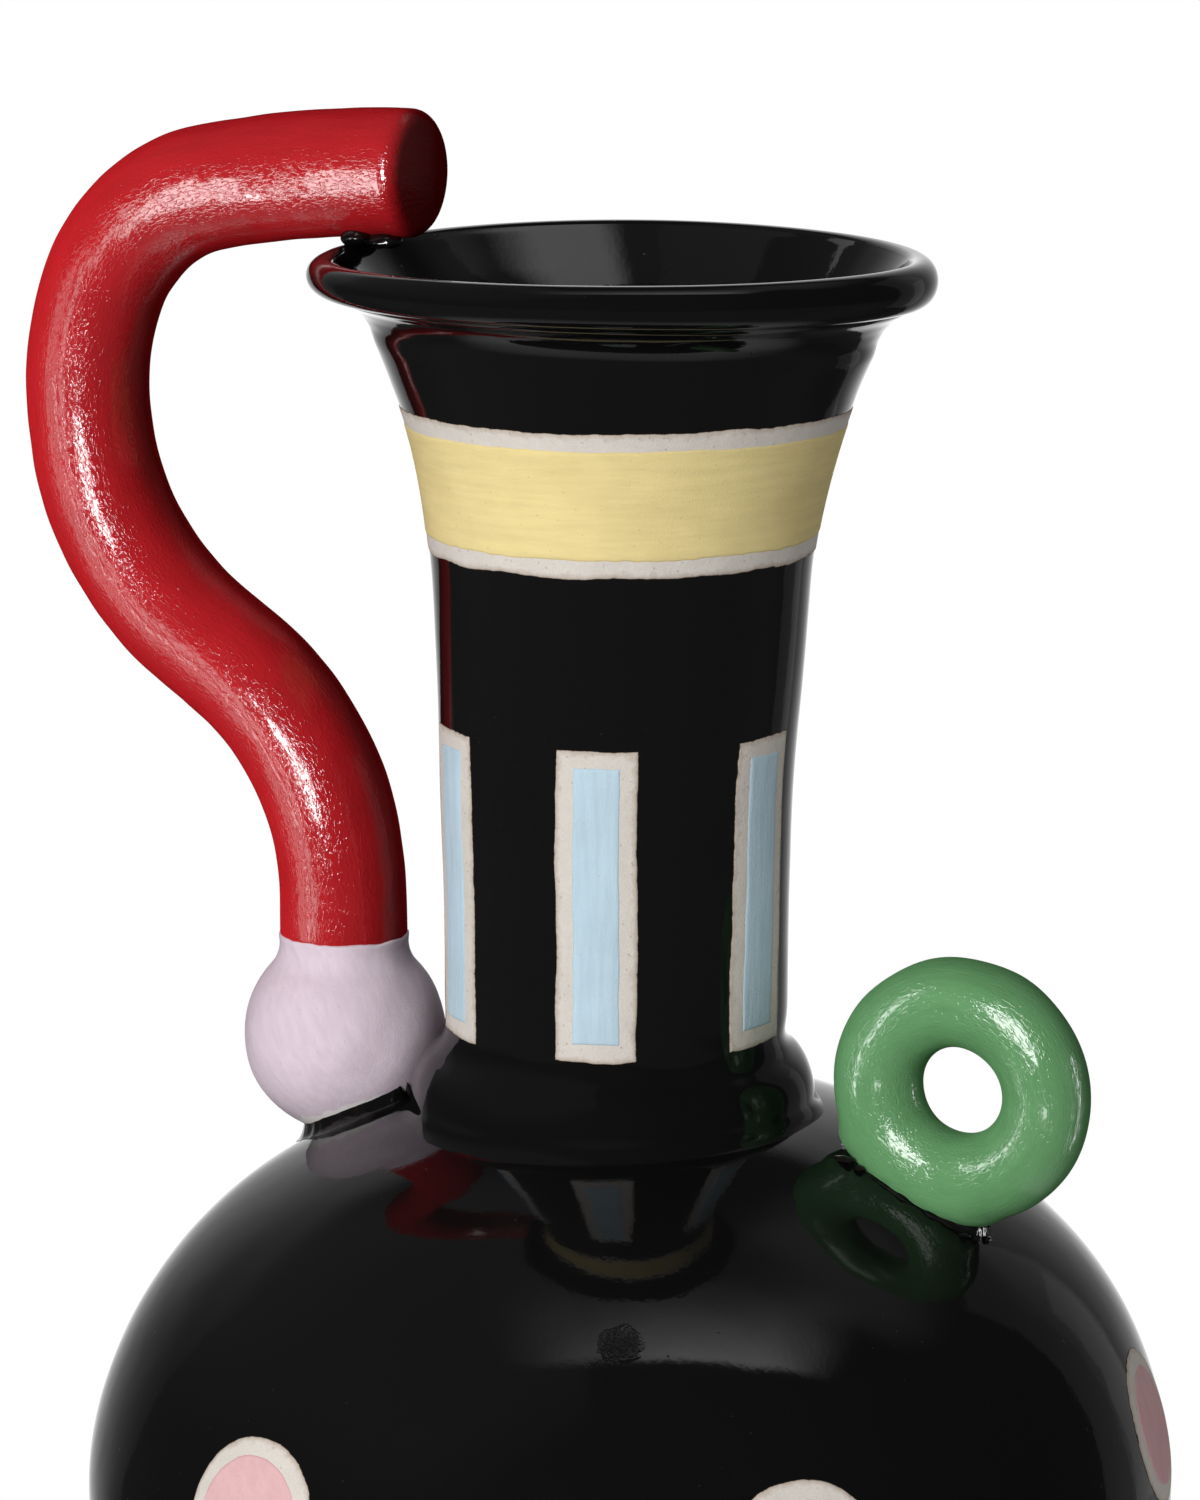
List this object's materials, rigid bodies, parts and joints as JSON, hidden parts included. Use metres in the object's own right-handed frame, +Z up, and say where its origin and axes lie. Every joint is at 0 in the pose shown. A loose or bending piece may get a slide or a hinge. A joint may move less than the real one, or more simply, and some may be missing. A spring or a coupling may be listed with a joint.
{
  "type": "vase",
  "caption": "Large black-glazed vase with a round belly, tall flaring neck, S-shaped handle rising from a ball on one shoulder to over the rim, and an upright ring on the other shoulder.",
  "frame": {"origin": "middle of the foot ring's resting face, on the axis of the belly", "axes": "+Z up along the vase's axis, -X towards the handle, +X towards the shoulder ring"},
  "size_m": [0.3194, 0.286, 0.5435],
  "materials": {
    "black_glaze": "high-gloss black glaze with slight waves, pinholes and specks",
    "black_slip": "glossy black joining slip with beads and ragged edges",
    "red_glaze": "brushed red underglaze under clear gloss",
    "green_glaze": "brushed green underglaze under clear gloss",
    "lilac_underglaze": "matte brushed lilac underglaze",
    "yellow_underglaze": "matte brushed yellow underglaze",
    "blue_underglaze": "matte brushed light blue underglaze",
    "pink_underglaze": "matte brushed pink underglaze",
    "bare_clay": "matte unglazed pale clay"
  },
  "bodies": {
    "root": {"foot_ring": "bare_clay", "floor_slab": "black_glaze", "lower_belly": "black_glaze", "upper_belly": "black_glaze", "shoulder": "black_glaze", "neck_collar": "black_glaze", "neck": "black_glaze", "neck_flare": "black_glaze", "rolled_lip": "black_glaze", "handle": "red_glaze", "handle_ball": "lilac_underglaze", "ball_slip": "black_slip", "rim_slip": "black_slip", "ring": "green_glaze", "ring_slip": "black_slip", "clay_margins": "bare_clay", "yellow_band": "yellow_underglaze", "blue_stripes": "blue_underglaze", "pink_dots": "pink_underglaze"}
  },
  "joints": []
}
